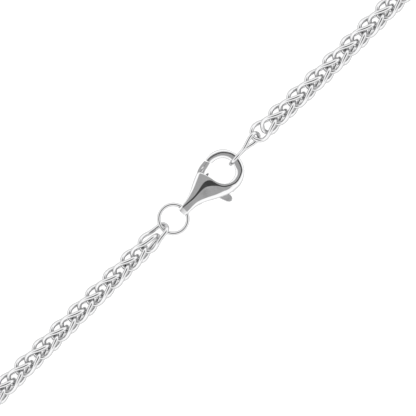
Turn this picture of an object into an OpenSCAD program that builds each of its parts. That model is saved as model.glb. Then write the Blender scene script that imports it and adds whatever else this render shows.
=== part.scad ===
// Silver wheat chain necklace with a lobster clasp, lying flat as a closed loop.
// The clasp run lies along X. +Z is up. The loop closes on the +Y side.

/* [Necklace] */
// Length of the whole closed loop, clasp and rings included
necklace_len = 450; // [400:10:600]
// Half of the straight run on each long side of the loop
straight_half = 40; // [38:1:60]
// Height of the chain's middle above the surface it lies on
chain_z = 1.04; // [1:0.02:1.3]

/* [Chain] */
// Distance between two links of the same hand
pitch = 3.12; // [3:0.02:3.6]
// Diameter of the wire of a link
link_wire = 0.44; // [0.4:0.02:0.5]
// Clearance between a link and the link that it holds
link_gap = 0.12; // [0.06:0.02:0.16]
// Half of a link's width across its broad end
link_broad = 1.06; // [1:0.02:1.16]
// Half of a link's depth across its narrow end
link_deep = 0.8; // [0.76:0.02:0.86]
// Sideways shift of the links of each hand
hand_shift = 0.1; // [0.06:0.01:0.12]
// Turn of the chain about its own line
chain_roll = 11.5; // [0:0.5:20]
// Sideways offset of each straight run beside the clasp
run_offset = 0.19; // [0:0.01:0.3]
// Sideways lead of the chain toward the end link
lead_in = 0.4; // [0:0.01:0.5]

/* [Clasp] */
// Inner radius of the clasp's ring
ring_r = 1.83; // [1.75:0.01:1.9]
// Width of the band that forms the ring
band_w = 0.9; // [0.8:0.02:1]
// Length from the middle of the ring to the end of the tail
tail_len = 7.5; // [7.3:0.02:7.8]
// Thickness of the body
body_t = 2.36; // [2.3:0.02:2.4]
// Thickness of the hook where the end link hangs
hook_t = 1.24; // [1.1:0.02:1.3]
// Thickness of the spring lever
lever_t = 1.1; // [0.9:0.05:1.2]
// Clearance on each side of the lever
lever_gap = 0.06; // [0.04:0.01:0.1]
// Radius of the pivot pin
pin_r = 0.3; // [0.25:0.01:0.32]
// Reach of the thumb tab beyond the middle of the ring
tab_reach = 3.3; // [3.1:0.05:3.5]

/* [Rings] */
// Diameter of the wire of the jump ring
jump_wire = 0.49; // [0.4:0.01:0.52]
// Middle radius of the jump ring
jump_r = 1.81; // [1.75:0.01:1.9]
// Diameter of the wire of the end link
end_wire = 0.48; // [0.4:0.01:0.5]
// Length of the end link between the middles of its wire
end_len = 5.03; // [4.9:0.01:5.2]
// Clearance between the hook and the bend of the end link
end_hang = 0.38; // [0.2:0.01:0.5]
// Clearance between the end link and the first fold of the chain
head_gap = 0.27; // [0.2:0.01:0.4]
// Clearance between the jump ring and the last link
tail_gap = 0.115; // [0.1:0.005:0.2]
// Extra length of the last link, which reaches the jump ring
last_more = 0.56; // [0.4:0.02:0.7]
// Extra length of the link before the last one
next_more = 0.5; // [0.3:0.02:0.6]
// Distance from the middle of the cross hole to the end of the tail
tail_edge = 0.6; // [0.55:0.01:0.7]

/* [Hidden] */
// Links that are pieces of their own at each side of the clasp
near_count = 17;
wire_sides = 6;
round_fn = 64;

// A link from its broad end to its narrow end, along one leg.
// Columns: share of the height, share of the half width, turn in degrees.
LINK_ROWS = [
    [0,     0,     0],
    [0.05,  0.47,  4],
    [0.122, 0.775, 8],
    [0.224, 0.96,  14],
    [0.333, 1.01,  23],
    [0.442, 0.985, 33],
    [0.554, 0.98,  45],
    [0.68,  0.965, 57],
    [0.81,  0.95,  67],
    [0.912, 0.81,  76],
    [0.976, 0.49,  83],
    [1,     0,     90]];

// The last two links are turned less at the top. Same columns.
LAST_ROWS = concat([for (i = [0:6]) LINK_ROWS[i]], [
    [0.68,  0.965, 53],
    [0.81,  0.97,  58],
    [0.912, 0.86,  61],
    [0.976, 0.54,  62],
    [1,     0,     62]]);

// The end link, from the clasp to the chain. Same columns.
END_ROWS = [
    [0,     0,     0],
    [0.025, 0.5,   0],
    [0.083, 0.88,  0],
    [0.167, 1,     0],
    [0.28,  0.99,  0],
    [0.39,  0.86,  1],
    [0.48,  0.75,  4],
    [0.56,  0.72,  11],
    [0.64,  0.74,  20],
    [0.72,  0.8,   28],
    [0.8,   0.84,  34],
    [0.87,  0.84,  36],
    [0.93,  0.75,  38],
    [0.975, 0.5,   39],
    [1,     0,     39]];

// The clasp's body below the ring, from the ring to the tail.
// Columns: share of the tail length, left and right side over the
// ring's outer radius, share of the thickness.
BODY_ROWS = [
    [0.12, -0.85, 0.945, 0.85],
    [0.2,  -0.85, 0.93,  0.94],
    [0.28, -0.84, 0.875, 1],
    [0.36, -0.8,  0.775, 1],
    [0.44, -0.745, 0.64, 1],
    [0.52, -0.68, 0.47,  0.97],
    [0.6,  -0.61, 0.305, 0.9],
    [0.68, -0.55, 0.165, 0.82],
    [0.76, -0.505, 0.06, 0.73],
    [0.84, -0.475, 0,    0.66],
    [0.92, -0.465, -0.03, 0.6],
    [0.975, -0.46, -0.055, 0.5],
    [1,    -0.44, -0.075, 0.34]];

// Clasp layout
clasp_turn = 6;                    // turn of the clasp from the chain's line
clasp_x = 2.84;
clasp_y = 0.19;
ring_or = ring_r + band_w;
bevel = 0.26;
pivot = [-0.502, -0.93] * ring_or; // lever pivot, from the middle of the ring
tip_r = 0.85 * ring_or;            // radius of the lever's tip about its pivot
tail_hole_r = jump_wire / 2 + 0.1;
pin_len = body_t - 0.5;
tab_r = 0.5;                       // half width of the thumb tab
tab_y = -0.861 * ring_or;
mid_z = body_t / 2;
tail_hole_y = tail_edge - tail_len; // height of the cross hole in the tail
jump_x = -0.344 * ring_or;
end_w = hook_t / 2 + end_wire / 2 + 0.07;
end_tilt = 3;                      // turn of the end link from the clasp's line
end_low = (ring_r - end_wire / 2 - end_hang) * [cos(75), sin(75)];
function from_clasp(p) = [clasp_x + p[0] * sin(clasp_turn) + p[1] * cos(clasp_turn),
                          clasp_y - p[0] * cos(clasp_turn) + p[1] * sin(clasp_turn)];
end_top = from_clasp(end_low + end_len * [sin(end_tilt), cos(end_tilt)]);
jump_mid = from_clasp([jump_x, tail_hole_y - jump_r]);

// Chain layout
advance = pitch / 2;
link_h = pitch + link_wire + link_gap;
head_x = end_top[0] - (end_wire + link_wire) / 2 - head_gap;   // first fold, in the end link
tail_end_x = jump_r - jump_mid[0] - (jump_wire + link_wire) / 2 - tail_gap + last_more;
clasp_run = head_x + tail_end_x;
link_count = 2 * round((necklace_len - clasp_run - link_h) / advance / 2) + 1;
chain_len = (link_count - 1) * advance + link_h;
far_y = (chain_len - 4 * straight_half + clasp_run) / PI;
turn_head = (far_y + run_offset) / 2;
turn_tail = (far_y - run_offset) / 2;
tube_w = 1.3;                      // half width of the tube along the hidden run
tube_h = 1.04;                     // half height of the tube
tube_sides = 8;
tube_ring_step = 6.5;
tube_gap = 0.2;

// The box around the whole loop is centred on the origin
low_y = clasp_y - (tab_reach - tab_r) * cos(clasp_turn) + tab_y * sin(clasp_turn) - tab_r;
shift_y = -(far_y + tube_w + low_y) / 2;
shift_x = (turn_tail - turn_head) / 2;

lead_len = 14;
// Position and heading on the chain's line, a distance s from its first fold
run_1 = straight_half - head_x;
run_2 = run_1 + PI * turn_head;
run_3 = run_2 + 2 * straight_half;
run_4 = run_3 + PI * turn_tail;
function route(s) =
    s < lead_len ? let (f = 1 - s / lead_len)
        [head_x + s, lead_in * f * f - run_offset, -atan(2 * lead_in * f / lead_len)] :
    s < run_1 ? [head_x + s, -run_offset, 0] :
    s < run_2 ? arc_at(straight_half, far_y - turn_head, turn_head, -90 + (s - run_1) / turn_head * 180 / PI) :
    s < run_3 ? [straight_half - (s - run_2), far_y, 180] :
    s < run_4 ? arc_at(-straight_half, far_y - turn_tail, turn_tail, 90 + (s - run_3) / turn_tail * 180 / PI) :
    [-straight_half + (s - run_4), run_offset, 360];
// The chain rises to the clasp's height at both of its ends
function height_at(s) =
    let (f = max(0, 1 - s / lead_len, 1 - (chain_len - s) / lead_len))
    chain_z + (mid_z - chain_z) * f * f;
function arc_at(cx, cy, r, a) = [cx + r * cos(a), cy + r * sin(a), a + 90];

// Closed wire through points, with its rings turned about a middle point
function unit(v) = v / norm(v);
function wire_ring(p, t, out, r, sides) =
    let (n = unit(out - (out * t) * t), b = cross(t, n))
    [for (j = [0:sides - 1]) p + r * (cos(360 * j / sides) * n + sin(360 * j / sides) * b)];
module closed_wire(points, middle, r, sides) {
    n = len(points);
    rings = [for (i = [0:n - 1])
        wire_ring(points[i], unit(points[(i + 1) % n] - points[(i + n - 1) % n]),
                  points[i] - middle, r, sides)];
    polyhedron(
        points = [for (ring = rings) each ring],
        faces = [for (i = [0:n - 1], j = [0:sides - 1])
            let (a = i * sides + j, b = i * sides + (j + 1) % sides,
                 c = (i + 1) % n * sides + (j + 1) % sides, d = (i + 1) % n * sides + j)
            each [[a, d, b], [b, d, c]]],
        convexity = 6);
}

// A solid lofted through rings that all have as many points
module loft(rings) {
    n = len(rings);
    sides = len(rings[0]);
    polyhedron(
        points = [for (ring = rings) each ring],
        faces = concat(
            [for (i = [0:n - 2], j = [0:sides - 1])
                let (a = i * sides + j, b = i * sides + (j + 1) % sides,
                     c = (i + 1) * sides + (j + 1) % sides, d = (i + 1) * sides + j)
                each [[a, b, d], [b, c, d]]],
            [[for (j = [sides - 1:-1:0]) j]],
            [[for (j = [0:sides - 1]) (n - 1) * sides + j]]),
        convexity = 8);
}

// Middle line of a twisted oval link: one leg up, the other leg down.
// The broad end lies across X at the bottom.
function leg(rows, h, w_low, w_high, hand) =
    [for (row = rows)
        let (w = row[1] * (w_low + (w_high - w_low) * row[0]))
        [hand * w * cos(row[2]), -w * sin(row[2]), row[0] * h]];
function oval(rows, h, w_low, w_high, hand) =
    let (one = leg(rows, h, w_low, w_high, hand), last = len(rows) - 1)
    concat(one, [for (i = [last - 1:-1:1]) [-one[i][0], -one[i][1], one[i][2]]]);

// A link whose upper part is longer
function reach(points, h, more) =
    [for (p = points) [p[0], p[1], p[2] + more * min(1, max(0, (p[2] / h - 0.55) / 0.26))]];

module chain_link(k) {
    hand = k % 2 == 0 ? 1 : -1;
    s = k * advance + link_h / 2;
    at = route(s);
    color("gainsboro")
    translate([at[0] + shift_x, at[1] + shift_y, height_at(s)])
    rotate([0, 0, at[2]])
    rotate([0, 90, 0]) rotate([0, 0, chain_roll - 90])
    translate([-hand_shift * hand, 0, -link_h / 2])
    closed_wire(reach(oval(k < link_count - 2 ? LINK_ROWS : LAST_ROWS, link_h, link_broad, link_deep, hand),
                      link_h, k == link_count - 1 ? last_more : k == link_count - 2 ? next_more : 0),
                [0, 0, link_h / 2], link_wire / 2, wire_sides);
}

// Tubes along the hidden run of the chain, from the near links to the far middle
tube_first = (near_count - 1) * advance + link_h + link_wire / 2 + tube_gap;
tube_last = (link_count - near_count) * advance - link_wire / 2 - tube_gap;
tube_mid = (run_2 + run_3) / 2;
module chain_tube(first, last) {
    rings = ceil((last - first) / tube_ring_step);
    color("gainsboro")
    loft([for (i = [0:rings])
        let (at = route(first + (last - first) * i / rings))
        [for (j = [0:tube_sides - 1])
            let (a = 360 * (j + 0.5) / tube_sides, w = tube_w * cos(a) / cos(180 / tube_sides))
            [at[0] + shift_x + w * sin(at[2]), at[1] + shift_y - w * cos(at[2]),
             chain_z + tube_h * sin(a) / cos(180 / tube_sides)]]]);
}

// From the clasp's own plan to the necklace's frame
module clasp_place() {
    translate([clasp_x + shift_x, clasp_y + shift_y, mid_z]) rotate([0, 0, clasp_turn - 90]) children();
}

// Bevelled section: two sides and a half thickness
function bevelled(left, right, half) =
    let (c = min(bevel, half * 0.6, (right - left) * 0.3))
    [[left, -half + c], [left + c, -half], [right - c, -half], [right, -half + c],
     [right, half - c], [right - c, half], [left + c, half], [left, half - c]];

// The hook is a bevelled band that gets thinner from the body to its tip
module hook() {
    steps = 28;
    from = -32;
    to = 200;
    loft([for (i = [0:steps])
        let (a = from + (to - from) * i / steps,
             half = (hook_t + (body_t * 0.9 - hook_t) * pow(max(0, 1 - (a - from) / 110), 1.5)) / 2)
        [for (p = bevelled(ring_r - 0.03, ring_or, half))
            [p[0] * cos(a), p[0] * sin(a), p[1]]]]);
}

module clasp_body() {
    color("silver") clasp_place()
    difference() {
        union() {
            hook();
            loft([for (i = [len(BODY_ROWS) - 1:-1:0])
                let (row = BODY_ROWS[i])
                [for (p = bevelled(row[1] * ring_or, row[2] * ring_or, row[3] * body_t / 2))
                    [p[0], -row[0] * tail_len, p[1]]]]);
        }
        // The hole of the ring
        cylinder(h = body_t * 2, r = ring_r, center = true, $fn = round_fn);
        // The gap that the lever's nose closes
        difference() {
            translate([-ring_or - 1, -2, -body_t])
            linear_extrude(height = body_t * 2)
            polygon([[0, 0], [0, 3], [ring_or + 1, 3], [ring_or + 1, 0.17]]);
            translate([0, 0, -body_t]) linear_extrude(height = body_t * 2)
            difference() {
                translate([-ring_or - 2, -1.5]) square([ring_or + 2, 9]);
                translate(pivot) circle(r = tip_r + lever_gap, $fn = round_fn);
            }
        }
        // The slot for the lever, open at the shoulder and at the tab
        lever_slot();
        // The seat of the pivot pin
        translate([pivot[0], pivot[1], 0])
        cylinder(h = pin_len + 0.04, r = pin_r + 0.01, center = true, $fn = round_fn);
        // The cross hole for the jump ring, curved as the ring is
        translate([jump_x, tail_hole_y - jump_r, 0])
        rotate_extrude($fn = round_fn) translate([jump_r, 0]) circle(r = tail_hole_r, $fn = 32);
    }
}

module lever_slot() {
    translate([0, 0, -lever_t / 2 - lever_gap]) linear_extrude(height = lever_t + 2 * lever_gap)
    polygon(ring_or * [[-1.2, -0.513], [-1.2, -1.136], [-0.623, -1.227], [-0.256, -1.575],
                       [0.256, -1.832], [1.4, -1.832], [1.4, -0.513]]);
}

// The lever: a nose that closes the ring, a pivot boss and a thumb tab
module clasp_lever() {
    color("silver") clasp_place()
    difference() {
        union() {
            translate([pivot[0], pivot[1], 0])
            cylinder(h = lever_t, r = pin_r + 0.34, center = true, $fn = round_fn);
            intersection() {
                translate([pivot[0], pivot[1], 0])
                cylinder(h = lever_t, r = tip_r, center = true, $fn = round_fn);
                translate([0, 0, -lever_t]) linear_extrude(height = 2 * lever_t)
                polygon(ring_or * [[-0.96, -0.073], [-0.674, -0.073], [-0.623, -0.33], [-0.549, -0.513],
                                   [-0.454, -0.659], [-0.403, -0.806], [-0.403, -1.026], [-0.696, -1.026],
                                   [-0.842, -0.733], [-0.901, -0.513], [-0.952, -0.293]]);
            }
            translate([0, 0, -lever_t / 2]) linear_extrude(height = lever_t)
            polygon([[-0.513, -0.821] * ring_or, [0.44, -0.777] * ring_or, [0.733 * ring_or, tab_y + tab_r],
                     [tab_reach - tab_r, tab_y + tab_r], [tab_reach - tab_r, tab_y - tab_r],
                     [0.733 * ring_or, tab_y - tab_r], [0.366, -1.062] * ring_or, [-0.513, -1.121] * ring_or]);
            translate([tab_reach - tab_r, tab_y, 0])
            cylinder(h = lever_t, r = tab_r, center = true, $fn = round_fn);
        }
        translate([pivot[0], pivot[1], 0])
        cylinder(h = lever_t * 2, r = pin_r + 0.04, center = true, $fn = round_fn);
    }
}

module clasp_pin() {
    color("silver") clasp_place()
    translate([pivot[0], pivot[1], 0]) cylinder(h = pin_len, r = pin_r, center = true, $fn = round_fn);
}

// Round ring of wire that joins the clasp's tail to the last link
module jump_ring() {
    color("silver") clasp_place()
    translate([jump_x, tail_hole_y - jump_r, 0])
    rotate_extrude($fn = round_fn) translate([jump_r, 0]) circle(d = jump_wire, $fn = 32);
}

// Twisted oval link between the clasp's ring and the first fold of the chain
module end_link() {
    color("gainsboro") clasp_place()
    translate([end_low[0], end_low[1], 0])
    rotate([0, 0, -end_tilt]) rotate([-90, 0, 0]) rotate([0, 0, 90])
    closed_wire(oval(END_ROWS, end_len, end_w, end_w, 1), [0, 0, end_len / 2], end_wire / 2, wire_sides);
}

clasp_body();
clasp_lever();
clasp_pin();
jump_ring();
end_link();
chain_tube(tube_first, tube_mid);  // chain_run_head
chain_tube(tube_mid, tube_last);  // chain_run_tail
for (i = [1:near_count]) {
    chain_link(i - 1);
    chain_link(link_count - near_count + i - 1);
}
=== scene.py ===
from math import atan2, cos, pi, radians, sin, tan

import bpy
from mathutils import Matrix, Vector


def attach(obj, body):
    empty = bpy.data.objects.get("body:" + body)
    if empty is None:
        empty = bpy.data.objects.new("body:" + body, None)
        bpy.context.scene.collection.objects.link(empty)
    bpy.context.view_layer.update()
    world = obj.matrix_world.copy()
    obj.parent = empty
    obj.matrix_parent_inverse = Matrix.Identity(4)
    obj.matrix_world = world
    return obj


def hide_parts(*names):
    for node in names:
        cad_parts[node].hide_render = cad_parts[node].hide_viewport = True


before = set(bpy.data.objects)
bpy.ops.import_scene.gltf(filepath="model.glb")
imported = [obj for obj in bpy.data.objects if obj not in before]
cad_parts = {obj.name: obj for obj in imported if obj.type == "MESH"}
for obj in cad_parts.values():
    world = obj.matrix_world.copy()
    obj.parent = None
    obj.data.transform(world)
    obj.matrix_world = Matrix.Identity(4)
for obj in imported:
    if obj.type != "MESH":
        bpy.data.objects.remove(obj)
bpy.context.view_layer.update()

# The clasp body is one casting of sterling silver: a tapered drop that runs on into a round hook. A
# polished flat band winds along its top in an S, with two slanted faces and rounded edges beside it.
# A slot at mid thickness takes the lever, and a cross hole in the tail takes the jump ring.
MM = 0.001
SHIFT = Vector((-0.095, -45.1791, 0))           # from the clasp's layout to the necklace's frame
CLASP_AT = Vector((2.84, 0.19, 0)) + SHIFT      # middle of the clasp's ring
CLASP_TURN = radians(6 - 90)
CLASP_MID = 1.18                                # height of the clasp's middle
FACE_FALL = 11                                  # slant of the faces beside the band
FACE_REACH = 0.6                                # stretches of the band this near also shape a face
SOFT_TURNS = 14                                 # rounds of evening out the heights of a face
RIM_TILT = radians(15)                          # slant at which the rounded edges begin
RIM_START = 30                                  # where they begin on their quarter round, in degrees
INSIDE_START = 60                               # the same inside the hook
CREASE = radians(38)                            # edges sharper than this stay crisp
# Sections from the tail to the hook. Across each one: left outline, end of the left rounding, left
# and right side of the band, start of the right rounding, right outline, and half the thickness.
CLASP_SECTIONS = [
    ((-1.17, -6.80), (-1.06, -6.80), (-0.99, -6.82), (-0.85, -6.84), (-0.15, -6.96), (0.12, -6.90), 0.82),
    ((-1.16, -6.36), (-1.06, -6.38), (-0.92, -6.40), (-0.77, -6.42), (-0.11, -6.45), (0.17, -6.40), 0.85),
    ((-1.22, -5.80), (-1.08, -5.78), (-0.82, -5.80), (-0.64, -5.80), (-0.07, -5.85), (0.29, -5.83), 0.89),
    ((-1.35, -5.15), (-1.16, -5.15), (-0.73, -5.18), (-0.52, -5.20), (0.04, -5.25), (0.50, -5.28), 0.93),
    ((-1.56, -4.50), (-1.28, -4.48), (-0.70, -4.60), (-0.48, -4.64), (0.28, -4.65), (0.80, -4.74), 0.98),
    ((-1.80, -3.90), (-1.44, -3.86), (-0.73, -4.00), (-0.44, -4.05), (0.58, -4.12), (1.10, -4.27), 1.03),
    ((-2.02, -3.30), (-1.64, -3.24), (-0.80, -3.38), (-0.38, -3.46), (0.86, -3.66), (1.38, -3.86), 1.08),
    ((-2.18, -2.80), (-1.80, -2.72), (-0.83, -2.92), (-0.25, -3.04), (1.08, -3.32), (1.58, -3.58), 1.12),
    ((-2.23, -2.42), (-1.92, -2.38), (-0.79, -2.62), (-0.08, -2.80), (1.26, -3.04), (1.75, -3.34), 1.14),
    ((-2.05, -2.08), (-1.88, -2.16), (-0.68, -2.36), (0.10, -2.58), (1.40, -2.78), (1.90, -3.10), 1.15),
    ((-1.60, -1.92), (-1.52, -2.03), (-0.54, -2.17), (0.27, -2.42), (1.54, -2.52), (2.05, -2.88), 1.15),
    ((-1.10, -1.84), (-1.06, -1.90), (-0.37, -2.04), (0.44, -2.29), (1.66, -2.28), (2.18, -2.70), 1.15),
    ((-0.50, -1.77), (-0.48, -1.81), (-0.12, -1.95), (0.60, -2.16), (1.77, -2.04), (2.31, -2.50), 1.14),
    ((0.10, -1.73), (0.11, -1.76), (0.25, -1.90), (0.79, -2.02), (1.91, -1.82), (2.45, -2.24), 1.11),
    ((0.66, -1.60), (0.67, -1.63), (0.78, -1.80), (1.11, -1.86), (2.02, -1.62), (2.58, -1.96), 1.07),
    ((1.12, -1.37), (1.13, -1.40), (1.28, -1.60), (1.41, -1.69), (2.10, -1.42), (2.69, -1.66), 1.03),
    ((1.44, -1.08), (1.49, -1.12), (1.60, -1.30), (1.72, -1.40), (2.15, -1.20), (2.78, -1.34), 0.99)]
# The hook: angle, radii of the same six lines about the ring's middle, half the thickness.
HOOK_SECTIONS = [
    (-20, 1.75, 1.92, 2.13, 2.27, 2.37, 2.99, 0.94),
    (-6, 1.70, 1.95, 2.20, 2.33, 2.40, 2.92, 0.90),
    (8, 1.67, 1.95, 2.21, 2.34, 2.40, 2.83, 0.86),
    (22, 1.63, 1.93, 2.22, 2.35, 2.41, 2.74, 0.81),
    (36, 1.55, 1.83, 2.25, 2.38, 2.45, 2.68, 0.76),
    (50, 1.48, 1.66, 2.18, 2.31, 2.38, 2.62, 0.71),
    (64, 1.44, 1.60, 2.12, 2.25, 2.33, 2.56, 0.67),
    (82, 1.44, 1.67, 2.13, 2.26, 2.34, 2.54, 0.65),
    (100, 1.44, 1.74, 2.14, 2.27, 2.35, 2.54, 0.64),
    (120, 1.44, 1.75, 2.06, 2.19, 2.28, 2.54, 0.63),
    (140, 1.45, 1.77, 2.04, 2.17, 2.26, 2.54, 0.62),
    (162, 1.48, 1.81, 2.03, 2.16, 2.26, 2.53, 0.61),
    (180, 1.55, 1.91, 2.11, 2.21, 2.33, 2.51, 0.60),
    (191, 1.62, 1.96, 2.15, 2.24, 2.38, 2.50, 0.59)]
# The square end of the tail, and half its thickness.
TAIL_END = ((-1.24, -7.40), (-1.17, -7.41), (-0.97, -7.45), (-0.83, -7.46), (-0.21, -7.50), (-0.11, -7.48),
            0.675)
SLOT = [(-3.3, -1.4), (-3.3, -3.2), (-1.7, -3.35), (-0.7, -4.3), (0.7, -5), (3.8, -5), (3.8, -1.4)]
SLOT_HALF = 0.61
HOLE_R = 0.34                                   # the cross hole follows the jump ring
RING_R = 1.81
RING_AT = (-0.94, -6.9 - RING_R, 0)


def deselect():
    if bpy.context.object and bpy.context.object.mode != "OBJECT":
        bpy.ops.object.mode_set(mode="OBJECT")
    bpy.ops.object.select_all(action="DESELECT")


def activate(piece):
    deselect()
    piece.select_set(True)
    bpy.context.view_layer.objects.active = piece


def apply_modifiers(piece):
    bpy.context.view_layer.objects.active = piece
    for name in [m.name for m in piece.modifiers]:
        bpy.ops.object.modifier_apply(modifier=name)


def close_up(piece, gap=1e-6):
    """Merges points that lie closer than the gap and turns the faces outwards."""
    activate(piece)
    bpy.ops.object.mode_set(mode="EDIT")
    bpy.ops.mesh.select_all(action="SELECT")
    bpy.ops.mesh.remove_doubles(threshold=gap)
    bpy.ops.mesh.normals_make_consistent(inside=False)
    bpy.ops.object.mode_set(mode="OBJECT")


def settle(piece):
    """Leaves the object at the origin with its place in its mesh."""
    activate(piece)
    bpy.ops.object.transform_apply(location=True, rotation=True, scale=True)


def to_clasp(piece):
    """Moves a piece made in millimetres about the ring's middle to its place on the necklace."""
    piece.matrix_world = (Matrix.Translation((CLASP_AT.x * MM, CLASP_AT.y * MM, CLASP_MID * MM))
                          @ Matrix.Rotation(CLASP_TURN, 4, "Z") @ Matrix.Scale(MM, 4))
    settle(piece)


def join_or_cut(piece, tools, operation):
    for tool in tools:
        m = piece.modifiers.new("shape", "BOOLEAN")
        m.operation, m.solver, m.object = operation, "EXACT", tool
        apply_modifiers(piece)
        bpy.data.objects.remove(tool)


def smooth(t, values):
    """Value at t on a smooth line through evenly spaced values."""
    i = min(int(t), len(values) - 2)
    u = t - i
    a, b = values[max(i - 1, 0)], values[i]
    c, d = values[i + 1], values[min(i + 2, len(values) - 1)]
    return b + 0.5 * u * (c - a + u * (2 * a - 5 * b + 4 * c - d + u * (3 * (b - c) + d - a)))


def beside(p, line):
    """Gap in plan to each stretch of a line, with the line's height there."""
    for a, b in zip(line, line[1:]):
        run = (b - a).xy
        t = min(1, max(0, (p - a.xy).dot(run) / max(run.length_squared, 1e-9)))
        yield (p - a.xy - run * t).length, a.z + (b.z - a.z) * t


def roof(p, line, slope):
    """Height at a plan point of a face that falls away from a line at an even slope."""
    stretches = list(beside(p, line))
    near = min(stretches)[0]
    return max(z - slope * gap for gap, z in stretches if gap < near + FACE_REACH)


def soften(values, first):
    """Evens out a row of heights, with those up to the first one and the last one kept."""
    for turn in range(SOFT_TURNS):
        values = values[:first + 1] + [(values[i - 1] + 2 * values[i] + values[i + 1]) / 4
                                       for i in range(first + 1, len(values) - 1)] + values[-1:]
    return values


def rounding(near, far, top, start, count):
    """Points of a rounded edge, from the end of a face down to the outline."""
    s = sin(start)
    drop = tan(RIM_TILT) * (1 + s) / s * (far - near).length
    for k in range(count + 1):
        a = start + (pi / 2 - start) * k / count
        yield (*near.lerp(far, (sin(a) - s) / (1 - s)), top - drop * (1 - cos(a) / cos(start)))


def casting(name, sections, fall, parts=(5, 5, 2, 7, 7), steps=4, lead=(), hook_from=1000):
    """A closed casting through sections of six plan points and half a thickness. Its top and its
    underside are alike. The parts are the faces across the left rounding, left face, band, right
    face and right rounding. Rows before the first section are a lead of straight steps. From the
    section where the hook starts, the left edge is rounded as its inside is."""
    rows = []
    for k in range((len(sections) - 1) * steps + 1):
        t = k / steps
        rows.append([Vector([smooth(t, [s[c][i] for s in sections]) for i in (0, 1)]) for c in range(6)]
                    + [smooth(t, [s[6] for s in sections])])
    for s in lead:
        rows.insert(0, [Vector(p) for p in s[:6]] + [s[6]])
    slope = tan(radians(fall))
    band_l = [Vector((*r[2], r[6])) for r in rows]
    levels = soften([min(beside(r[3], band_l))[1] for r in rows], len(lead))
    band_r = [Vector((*r[3], z)) for r, z in zip(rows, levels)]
    faces = []
    for (out_l, rim_l, in_l, in_r, rim_r, out_r, half), z in zip(rows, levels):
        faces.append([roof(rim_l.lerp(in_l, k / parts[1]), band_l, slope) for k in range(parts[1])]
                     + [half + (z - half) * k / parts[2] for k in range(parts[2] + 1)]
                     + [roof(in_r.lerp(rim_r, k / parts[3]), band_r, slope) for k in range(1, parts[3] + 1)])
    for (out_l, rim_l, in_l, in_r, rim_r, out_r, half), face in zip(rows[:len(lead)], faces):
        drop_l, drop_r = slope * (rim_l - in_l).length, slope * (rim_r - in_r).length
        face[:] = ([half - drop_l * (1 - k / parts[1]) for k in range(parts[1])] + [half] * (parts[2] + 1)
                   + [half - drop_r * k / parts[3] for k in range(1, parts[3] + 1)])
    # Where the right face turns round the bend of the band, its two slants run softly into each other.
    for c in range(parts[1] + parts[2] + 1, parts[1] + parts[2] + parts[3] + 1):
        for face, z in zip(faces, soften([f[c] for f in faces], len(lead))):
            face[c] = z
    rings = []
    for i, ((out_l, rim_l, in_l, in_r, rim_r, out_r, half), face) in enumerate(zip(rows, faces)):
        inside = min(1, max(0, ((i - len(lead)) / steps - hook_from) / 2))
        start = radians(RIM_START + (INSIDE_START - RIM_START) * inside)
        line = list(rounding(rim_l, out_l, face[0], start, parts[0]))[:0:-1]
        for c, height in enumerate(face[:-1]):
            if c < parts[1]:
                p = rim_l.lerp(in_l, c / parts[1])
            elif c < parts[1] + parts[2]:
                p = in_l.lerp(in_r, (c - parts[1]) / parts[2])
            else:
                p = in_r.lerp(rim_r, (c - parts[1] - parts[2]) / parts[3])
            line.append((*p, height))
        line += rounding(rim_r, out_r, face[-1], radians(RIM_START), parts[4])
        rings.append(line + [(x, y, -z) for x, y, z in reversed(line)])
    n = len(rings[0])
    deselect()
    bpy.ops.mesh.primitive_grid_add(x_subdivisions=n - 1, y_subdivisions=len(rings) - 1, size=1)
    piece = bpy.context.object
    piece.name = name
    mesh = piece.data
    for v in mesh.vertices:
        v.co = rings[v.index // n][v.index % n]
    # The grid's first and last columns are joined, and both of its ends are filled.
    bpy.ops.object.mode_set(mode="EDIT")
    bpy.ops.mesh.select_mode(type="EDGE")
    bpy.ops.mesh.select_all(action="DESELECT")
    bpy.ops.object.mode_set(mode="OBJECT")
    for e in mesh.edges:
        i, j = e.vertices
        e.select = abs(i - j) == n and i % n in (0, n - 1)
    bpy.ops.object.mode_set(mode="EDIT")
    bpy.ops.mesh.bridge_edge_loops()
    bpy.ops.mesh.select_all(action="DESELECT")
    bpy.ops.mesh.select_non_manifold(extend=False)
    bpy.ops.mesh.edge_face_add()
    # The lines between the band, the faces and the rounded edges stay crisp.
    bpy.ops.mesh.select_all(action="DESELECT")
    bpy.ops.object.mode_set(mode="OBJECT")
    turns = [sum(parts[:k]) for k in (1, 2, 3, 4)]
    turns += [n - 1 - t for t in turns]
    for e in mesh.edges:
        i, j = e.vertices
        e.select = (abs(i - j) == n and i % n in turns) or (len(lead) > 0 and i // n == j // n == len(lead))
    bpy.ops.object.mode_set(mode="EDIT")
    bpy.ops.mesh.mark_sharp()
    bpy.ops.object.mode_set(mode="OBJECT")
    close_up(piece, 1e-4)
    return piece


def plate(name, outline, half):
    """A flat plate that is as thick above the clasp's middle as below it."""
    deselect()
    bpy.ops.mesh.primitive_circle_add(vertices=len(outline), radius=1, fill_type="NGON",
                                      location=(0, 0, -half))
    piece = bpy.context.object
    piece.name = name
    for v, p in zip(piece.data.vertices, outline):
        v.co = (*p, 0)
    bpy.ops.object.mode_set(mode="EDIT")
    bpy.ops.mesh.select_all(action="SELECT")
    bpy.ops.mesh.extrude_region_move(TRANSFORM_OT_translate={"value": (0, 0, 2 * half)})
    bpy.ops.object.mode_set(mode="OBJECT")
    settle(piece)
    close_up(piece)
    return piece


def wire_round(name, radius, wire_r, rounds, sides):
    """A round of wire about the jump ring's middle."""
    deselect()
    bpy.ops.mesh.primitive_torus_add(major_segments=rounds, minor_segments=sides, major_radius=radius,
                                     minor_radius=wire_r, location=RING_AT)
    piece = bpy.context.object
    piece.name = name
    settle(piece)
    return piece


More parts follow.
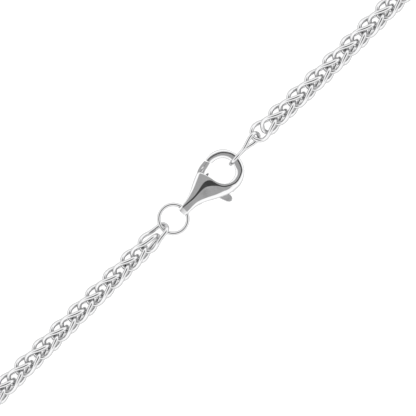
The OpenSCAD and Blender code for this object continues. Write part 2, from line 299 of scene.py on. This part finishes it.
hook = []
for angle, *radii, half in HOOK_SECTIONS:
    hook.append([(r * cos(radians(angle)), r * sin(radians(angle))) for r in radii] + [half])
clasp_body = casting("clasp_casting", CLASP_SECTIONS + hook, FACE_FALL, lead=[TAIL_END],
                     hook_from=len(CLASP_SECTIONS) - 2)

# The slot for the lever and the curved cross hole are cut out of the casting.
slot = plate("slot", SLOT, SLOT_HALF)
cross_hole = wire_round("cross_hole", RING_R, HOLE_R, 72, 20)
join_or_cut(clasp_body, (slot, cross_hole), "DIFFERENCE")
activate(clasp_body)
bpy.ops.object.shade_smooth_by_angle(angle=CREASE)
to_clasp(clasp_body)


def silver(name, tone, rough, grain, wear):
    """Polished silver. The finish varies a little over the surface."""
    m = bpy.data.materials.new(name)
    m.use_nodes = True
    tree = m.node_tree
    bsdf = tree.nodes["Principled BSDF"]
    bsdf.inputs["Metallic"].default_value = 1.0
    bsdf.inputs["Specular Tint"].default_value = (0.5, 0.5, 0.5, 1)
    coords = tree.nodes.new("ShaderNodeTexCoord")
    finish = tree.nodes.new("ShaderNodeGroup")
    finish.node_tree = POLISH
    finish.inputs["Tone"].default_value = (*tone, 1)
    finish.inputs["Gloss"].default_value = rough
    finish.inputs["Grain"].default_value = grain
    finish.inputs["Wear"].default_value = wear
    tree.links.new(coords.outputs["Object"], finish.inputs["Place"])
    tree.links.new(finish.outputs["Colour"], bsdf.inputs["Base Color"])
    tree.links.new(finish.outputs["Roughness"], bsdf.inputs["Roughness"])
    tree.links.new(finish.outputs["Normal"], bsdf.inputs["Normal"])
    return m


# Polishing marks and handling wear, shared by every silver piece.
POLISH = bpy.data.node_groups.new("polish_marks", "ShaderNodeTree")
for way, socket, kind in (("INPUT", "Place", "Vector"), ("INPUT", "Tone", "Color"),
                          ("INPUT", "Gloss", "Float"), ("INPUT", "Grain", "Float"),
                          ("INPUT", "Wear", "Float"), ("OUTPUT", "Colour", "Color"),
                          ("OUTPUT", "Roughness", "Float"), ("OUTPUT", "Normal", "Vector")):
    POLISH.interface.new_socket(name=socket, in_out=way, socket_type="NodeSocket" + kind)
add = POLISH.nodes.new
wire = POLISH.links.new
inside, outside = add("NodeGroupInput"), add("NodeGroupOutput")
cloud = add("ShaderNodeTexNoise")
cloud.inputs["Scale"].default_value = 900
cloud.inputs["Detail"].default_value = 4
marks = add("ShaderNodeTexNoise")
marks.inputs["Scale"].default_value = 6000
marks.inputs["Detail"].default_value = 3
stretch = add("ShaderNodeMapping")
stretch.inputs["Scale"].default_value = (1, 6, 1)
wire(inside.outputs["Place"], cloud.inputs["Vector"])
wire(inside.outputs["Place"], stretch.inputs["Vector"])
wire(stretch.outputs["Vector"], marks.inputs["Vector"])
dim = add("ShaderNodeMix")
dim.data_type = "RGBA"
dim.blend_type = "MULTIPLY"
wire(inside.outputs["Wear"], dim.inputs[0])
wire(inside.outputs["Tone"], dim.inputs[6])
patch = add("ShaderNodeMapRange")
patch.inputs["From Min"].default_value = 0.3
patch.inputs["From Max"].default_value = 0.7
patch.inputs["To Min"].default_value = 0.75
patch.inputs["To Max"].default_value = 1.0
wire(cloud.outputs["Fac"], patch.inputs["Value"])
wire(patch.outputs["Result"], dim.inputs[7])
wire(dim.outputs[2], outside.inputs["Colour"])
rough = add("ShaderNodeMath")
rough.operation = "MULTIPLY_ADD"
wire(marks.outputs["Fac"], rough.inputs[0])
wire(inside.outputs["Wear"], rough.inputs[1])
wire(inside.outputs["Gloss"], rough.inputs[2])
wire(rough.outputs[0], outside.inputs["Roughness"])
bump = add("ShaderNodeBump")
bump.inputs["Distance"].default_value = 0.00001
wire(inside.outputs["Grain"], bump.inputs["Strength"])
wire(marks.outputs["Fac"], bump.inputs["Height"])
wire(bump.outputs["Normal"], outside.inputs["Normal"])

CAST_SILVER = silver("cast_silver", (0.64, 0.64, 0.645), 0.05, 0.15, 0.12)
clasp_body.data.materials.append(CAST_SILVER)
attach(clasp_body, "necklace")
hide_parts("clasp_body")

# The jump ring is a round of drawn silver wire, bent on a mandrel and soldered shut in the cross
# hole of the tail.
RING_WIRE_R = 0.245
jump_ring = wire_round("jump_ring_wire", RING_R, RING_WIRE_R, 120, 24)
bpy.ops.object.shade_smooth()
to_clasp(jump_ring)
WIRE_SILVER = silver("wire_silver", (0.62, 0.62, 0.625), 0.06, 0.1, 0.1)
jump_ring.data.materials.append(WIRE_SILVER)
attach(jump_ring, "necklace")
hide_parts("jump_ring")

# Each chain link is a soldered oval of drawn wire, twisted so that its broad end lies across the
# chain and its narrow end stands on edge. Links of both hands take turns, and each one holds the
# two before it.
ADVANCE = 1.56                                  # from one link to the next
LINK_H = 3.68
LINKS = 277
NEAR = 17                                       # single pieces at each side of the clasp
WIRE_R = 0.28
HAND_SHIFT = 0.1                                # links of each hand stand this far to their own side
CHAIN_ROLL = 11.5                               # turn of the chain about its own line
CHAIN_Z = 1.04
HEAD_X, TAIL_X = 8.328, 7.71                    # ends of the chain, along the clasp run
STRAIGHT = 40                                   # half of each straight run
OFFSET = 0.19                                   # the two runs beside the clasp lie this far off its line
LEAD, LEAD_LEN = 0.4, 14                        # the head end sways in to the end link
CHAIN_LEN = (LINKS - 1) * ADVANCE + LINK_H
FAR_Y = (CHAIN_LEN - 4 * STRAIGHT + HEAD_X + TAIL_X) / pi
TURN_HEAD, TURN_TAIL = (FAR_Y + OFFSET) / 2, (FAR_Y - OFFSET) / 2
# One leg of a link from its broad end to its narrow end, in millimetres.
LINK_LEG = [(0, 0, 0), (0.5, -0.04, 0.19), (0.81, -0.11, 0.45), (0.99, -0.25, 0.83), (0.99, -0.43, 1.23),
            (0.88, -0.58, 1.63), (0.70, -0.70, 2.04), (0.50, -0.76, 2.50), (0.33, -0.775, 2.98),
            (0.18, -0.69, 3.36), (0.075, -0.43, 3.59), (0, 0, 3.68)]
# The last two links are turned less at the top and are longer, to reach the jump ring.
LAST_LEG = LINK_LEG[:7] + [(0.545, -0.73, 2.50), (0.455, -0.73, 2.98), (0.36, -0.65, 3.36),
                           (0.225, -0.42, 3.59), (0, 0, 3.68)]
NEXT_MORE, LAST_MORE = 0.5, 0.56
STRETCH_FROM, STRETCH_OVER = 0.55, 0.26         # shares of the link over which they are stretched


def closed_line(leg, count):
    """Evenly spaced points round a link whose second leg is the first one turned half round."""
    ring = [Vector(p) for p in leg] + [Vector((-p[0], -p[1], p[2])) for p in reversed(leg[1:-1])]
    m, fine = len(ring), []
    for i in range(m):
        a, b, c, d = ring[i - 1], ring[i], ring[(i + 1) % m], ring[(i + 2) % m]
        for k in range(8):
            u = k / 8
            fine.append(b + 0.5 * u * (c - a + u * (2 * a - 5 * b + 4 * c - d + u * (3 * (b - c) + d - a))))
    gaps = [(fine[(i + 1) % len(fine)] - fine[i]).length for i in range(len(fine))]
    step, points, run, i = sum(gaps) / count, [], 0.0, 0
    for k in range(count):
        while run + gaps[i] < k * step:
            run += gaps[i]
            i += 1
        points.append(fine[i].lerp(fine[(i + 1) % len(fine)], (k * step - run) / gaps[i]))
    return points


def wire_loop(name, points, radius, sides):
    """A torus whose rings are moved onto the line of the wire."""
    deselect()
    count = len(points)
    bpy.ops.mesh.primitive_torus_add(major_segments=count, minor_segments=sides, major_radius=1,
                                     minor_radius=0.2)
    piece = bpy.context.object
    piece.name = name
    middle = sum(points, Vector()) / count
    for i, p in enumerate(points):
        along = (points[(i + 1) % count] - points[i - 1]).normalized()
        out = p - middle
        out = (out - along * out.dot(along)).normalized()
        side = along.cross(out)
        for j in range(sides):
            a = 2 * pi * j / sides
            piece.data.vertices[i * sides + j].co = p + radius * (out * cos(a) + side * sin(a))
    close_up(piece)
    activate(piece)
    bpy.ops.object.shade_smooth()
    return piece


def route(s):
    """Place and heading on the chain's line, s millimetres from its first fold."""
    run_1 = STRAIGHT - HEAD_X
    run_2 = run_1 + pi * TURN_HEAD
    run_3 = run_2 + 2 * STRAIGHT
    run_4 = run_3 + pi * TURN_TAIL
    rise = max(0, 1 - s / LEAD_LEN, 1 - (CHAIN_LEN - s) / LEAD_LEN) ** 2
    z = CHAIN_Z + (CLASP_MID - CHAIN_Z) * rise
    if s < LEAD_LEN:
        f = 1 - s / LEAD_LEN
        return HEAD_X + s, LEAD * f * f - OFFSET, z, -atan2(2 * LEAD * f, LEAD_LEN)
    if s < run_1:
        return HEAD_X + s, -OFFSET, z, 0
    if s < run_2:
        a = (s - run_1) / TURN_HEAD - pi / 2
        return STRAIGHT + TURN_HEAD * cos(a), FAR_Y - TURN_HEAD + TURN_HEAD * sin(a), z, a + pi / 2
    if s < run_3:
        return STRAIGHT - (s - run_2), FAR_Y, z, pi
    if s < run_4:
        a = (s - run_3) / TURN_TAIL + pi / 2
        return -STRAIGHT + TURN_TAIL * cos(a), FAR_Y - TURN_TAIL + TURN_TAIL * sin(a), z, a + pi / 2
    return -STRAIGHT + s - run_4, OFFSET, z, 0


def hand_of(k):
    return 1 if k % 2 == 0 else -1


def link_place(k):
    x, y, z, heading = route(k * ADVANCE + LINK_H / 2)
    return (Matrix.Translation((x * MM + SHIFT.x * MM, y * MM + SHIFT.y * MM, z * MM))
            @ Matrix.Rotation(heading, 4, "Z") @ Matrix.Rotation(radians(90), 4, "Y")
            @ Matrix.Rotation(radians(CHAIN_ROLL - 90), 4, "Z") @ Matrix.Scale(MM, 4)
            @ Matrix.Translation((-HAND_SHIFT * hand_of(k), 0, -LINK_H / 2)))


def copy_link(master, name, k):
    piece = master.copy()
    piece.data = master.data.copy()
    piece.name = name
    bpy.context.collection.objects.link(piece)
    piece.matrix_world = link_place(k)
    return piece


KINDS = [("fine", LINK_LEG, 0, 56, 12), ("next", LAST_LEG, NEXT_MORE, 60, 12),
         ("last", LAST_LEG, LAST_MORE, 60, 12), ("plain", LINK_LEG, 0, 14, 5)]
masters = {}
for detail, shape, more, rings, sides in KINDS:
    for hand in (1, -1):
        leg = [(x * hand, y, h + more * min(1, max(0, (h / LINK_H - STRETCH_FROM) / STRETCH_OVER)))
               for x, y, h in shape]
        masters[detail, hand] = wire_loop("link_master", closed_line(leg, rings), WIRE_R, sides)
for i in range(1, NEAR + 1):
    for side, k in (("head", i - 1), ("tail", LINKS - NEAR + i - 1)):
        detail = {LINKS - 1: "last", LINKS - 2: "next"}.get(k, "fine")
        link = copy_link(masters[detail, hand_of(k)], "%s_wire_%d" % (side, i), k)
        settle(link)
        link.data.materials.append(WIRE_SILVER)
        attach(link, "necklace")
        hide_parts("%s_link_%d" % (side, i))

# The rest of the loop, out of the picture, is made of the same links. All but the nearest ones have
# fewer faces.
FINE_FAR = 4
far = []
for k in range(NEAR, LINKS - NEAR):
    detail = "fine" if k < NEAR + FINE_FAR or k >= LINKS - NEAR - FINE_FAR else "plain"
    far.append(copy_link(masters[detail, hand_of(k)], "far_link", k))
deselect()
for piece in far:
    piece.select_set(True)
bpy.context.view_layer.objects.active = far[0]
bpy.ops.object.join()
chain_far = bpy.context.object
chain_far.name = "chain_far"
settle(chain_far)
chain_far.data.materials.append(WIRE_SILVER)
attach(chain_far, "necklace")
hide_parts("chain_run_head", "chain_run_tail")
for piece in masters.values():
    bpy.data.objects.remove(piece)

# The end link is one longer oval of the same wire. It hangs edge-on in the clasp's hook and is
# twisted toward its other end, where its eye holds the first link.
END_LEN = 5.03
END_HALF = 0.93                                 # half of its width
END_WIRE_R = 0.25
END_AT, END_TURN = (0.31, 1.17, 0), -3          # its bend in the hook, and its heading
# Share of the length, share of the half width, and twist in degrees.
END_ROWS = [(0, 0, 0), (0.025, 0.5, 0), (0.083, 0.88, 0), (0.167, 1, 0), (0.28, 0.99, 0), (0.39, 0.86, 1),
            (0.48, 0.75, 4), (0.56, 0.72, 11), (0.64, 0.74, 20), (0.72, 0.8, 28), (0.8, 0.84, 34),
            (0.87, 0.84, 36), (0.93, 0.75, 38), (0.975, 0.5, 39), (1, 0, 39)]
leg = [(w * END_HALF * cos(radians(t)), -w * END_HALF * sin(radians(t)), h * END_LEN)
       for h, w, t in END_ROWS]
end_link = wire_loop("end_link_wire", closed_line(leg, 72), END_WIRE_R, 14)
end_link.matrix_world = (Matrix.Translation(END_AT) @ Matrix.Rotation(radians(END_TURN), 4, "Z")
                         @ Matrix.Rotation(radians(-90), 4, "X") @ Matrix.Rotation(radians(90), 4, "Z"))
settle(end_link)
to_clasp(end_link)
end_link.data.materials.append(WIRE_SILVER)
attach(end_link, "necklace")
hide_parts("end_link")

# The lever is a small silver casting, sprung shut. Its nose closes the hook, a flat arm runs through
# the slot of the body past the pivot, and a thumb tab stands out at the other side. A small heel
# of the arm shows at the edge of the ring.
LEVER_FALL = 11.5
NOSE_SECTIONS = [
    ((-2.18, -2.70), (-2.14, -2.69), (-1.79, -2.57), (-1.76, -2.56), (-1.36, -2.40), (-1.32, -2.37), 0.56),
    ((-2.34, -2.25), (-2.30, -2.24), (-1.94, -2.13), (-1.91, -2.12), (-1.52, -1.95), (-1.48, -1.93), 0.56),
    ((-2.43, -1.97), (-2.39, -1.96), (-2.03, -1.86), (-2.00, -1.85), (-1.61, -1.72), (-1.57, -1.70), 0.56),
    ((-2.48, -1.72), (-2.44, -1.71), (-2.08, -1.62), (-2.05, -1.61), (-1.66, -1.50), (-1.62, -1.48), 0.56),
    ((-2.51, -1.47), (-2.47, -1.46), (-2.11, -1.38), (-2.08, -1.37), (-1.70, -1.25), (-1.66, -1.24), 0.56),
    ((-2.52, -1.22), (-2.48, -1.21), (-2.12, -1.13), (-2.09, -1.12), (-1.73, -1.00), (-1.69, -0.99), 0.56),
    ((-2.52, -0.92), (-2.48, -0.91), (-2.13, -0.83), (-2.10, -0.82), (-1.77, -0.70), (-1.73, -0.69), 0.56),
    ((-2.51, -0.66), (-2.47, -0.64), (-2.14, -0.50), (-2.11, -0.49), (-1.81, -0.38), (-1.77, -0.38), 0.56)]
TAB_SECTIONS = [
    ((1.50, -1.90), (1.50, -1.98), (1.50, -2.00), (1.50, -2.02), (1.50, -3.04), (1.50, -3.12), 0.56),
    ((2.00, -1.87), (2.00, -1.95), (2.00, -1.97), (2.00, -1.99), (2.02, -2.98), (2.02, -3.06), 0.56),
    ((2.45, -1.85), (2.45, -1.93), (2.45, -1.95), (2.45, -1.97), (2.49, -2.86), (2.50, -2.94), 0.56),
    ((2.85, -1.86), (2.85, -1.94), (2.84, -1.96), (2.84, -1.98), (2.91, -2.74), (2.92, -2.82), 0.56),
    ((3.10, -1.96), (3.08, -2.02), (3.05, -2.04), (3.05, -2.06), (3.13, -2.60), (3.17, -2.68), 0.56),
    ((3.26, -2.14), (3.22, -2.18), (3.17, -2.20), (3.17, -2.22), (3.24, -2.46), (3.29, -2.50), 0.55),
    ((3.33, -2.30), (3.29, -2.31), (3.24, -2.32), (3.24, -2.33), (3.29, -2.36), (3.33, -2.37), 0.54)]
ARM = [(-2.0, -2.6), (-1.42, -2.3), (1.3, -2.1), (1.85, -2.0), (1.75, -2.85), (1.0, -2.9), (-1.2, -3.1),
       (-1.85, -3.0)]
ARM_HALF = 0.5
FILE_MARKS = [(-2.12, -1.46, 0.575), (-1.86, -1.74, 0.575)]


def rod(place, radius, length, turn, sides):
    deselect()
    bpy.ops.mesh.primitive_cylinder_add(vertices=sides, radius=radius, depth=length, location=place,
                                        rotation=[radians(t) for t in turn])
    piece = bpy.context.object
    settle(piece)
    return piece


nose = casting("nose", NOSE_SECTIONS, LEVER_FALL, parts=(3, 3, 1, 3, 3))
tab = casting("tab", TAB_SECTIONS, LEVER_FALL, parts=(3, 1, 1, 6, 3))
lever = plate("lever_casting", ARM, ARM_HALF)
heel = rod((-1.12, -1.71, 0.02), 0.14, 0.75, (12, 0, 0), 16)
stem = rod((-1.13, -2.1, 0.2), 0.11, 0.8, (90, 0, 0), 12)
join_or_cut(lever, (nose, tab, stem, heel), "UNION")
# Two short file marks in the nose.
join_or_cut(lever, [rod(place, 0.07, 0.36, (90, 0, -3), 8) for place in FILE_MARKS], "DIFFERENCE")
activate(lever)
bpy.ops.object.shade_smooth_by_angle(angle=CREASE)
to_clasp(lever)
lever.data.materials.append(CAST_SILVER)
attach(lever, "lever")
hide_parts("clasp_lever")

# The pivot pin is a plain silver rod, pressed into the body and hidden in it.
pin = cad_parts["clasp_pin"]
pin.data.materials.clear()
pin.data.materials.append(CAST_SILVER)

# A plain white surface, a white tent of light with a dark opening overhead, and a long lens that
# looks straight down through it. The links rest on the surface.
FLOOR_Z = -0.0001
deselect()
bpy.ops.mesh.primitive_plane_add(size=3, location=(0, 0, FLOOR_Z))
floor = bpy.context.object
floor.name = "floor"
paper = bpy.data.materials.new("paper")
paper.use_nodes = True
for socket, value in (("Base Color", (0.3, 0.3, 0.3, 1)), ("Roughness", 0.9),
                      ("Emission Color", (1, 1, 1, 1)), ("Emission Strength", 0.85)):
    paper.node_tree.nodes["Principled BSDF"].inputs[socket].default_value = value
floor.data.materials.append(paper)

world = bpy.data.worlds.new("tent")
bpy.context.scene.world = world
world.use_nodes = True
tree = world.node_tree
coords = tree.nodes.new("ShaderNodeTexCoord")
split = tree.nodes.new("ShaderNodeSeparateXYZ")
ramp = tree.nodes.new("ShaderNodeValToRGB")
ramp.color_ramp.interpolation = "LINEAR"
# Sine of the height above the horizon, and the light that comes from there.
TENT = [(0.0, 0.66), (0.12, 0.76), (0.3, 1.5), (0.62, 1.6), (0.8, 1.5), (0.866, 0.82), (0.89, 0.63),
        (0.94, 0.57), (0.952, 0.11), (1.0, 0.07)]
while len(ramp.color_ramp.elements) < len(TENT):
    ramp.color_ramp.elements.new(0.5)
for element, (place, light) in zip(ramp.color_ramp.elements, TENT):
    element.position = place
    element.color = (light, light, light, 1)
tree.links.new(coords.outputs["Generated"], split.inputs[0])
tree.links.new(split.outputs["Z"], ramp.inputs["Fac"])
tree.links.new(ramp.outputs["Color"], tree.nodes["Background"].inputs["Color"])
tree.nodes["Background"].inputs["Strength"].default_value = 1.0

LOOK_AT = Vector((-1.887, -1.887, 0)) + SHIFT
VIEW_W, AWAY = 52, 700                          # width of the picture and distance, in millimetres
camera_data = bpy.data.cameras.new("camera")
camera = bpy.data.objects.new("camera", camera_data)
bpy.context.collection.objects.link(camera)
camera_data.sensor_width = 36
camera_data.lens = 36 * AWAY / VIEW_W
camera_data.clip_end = 10
camera.location = (LOOK_AT.x * MM, LOOK_AT.y * MM, (AWAY + CLASP_MID) * MM)
camera.rotation_euler = (0, 0, radians(-45))
bpy.context.scene.camera = camera
bpy.context.scene.view_settings.view_transform = "Standard"
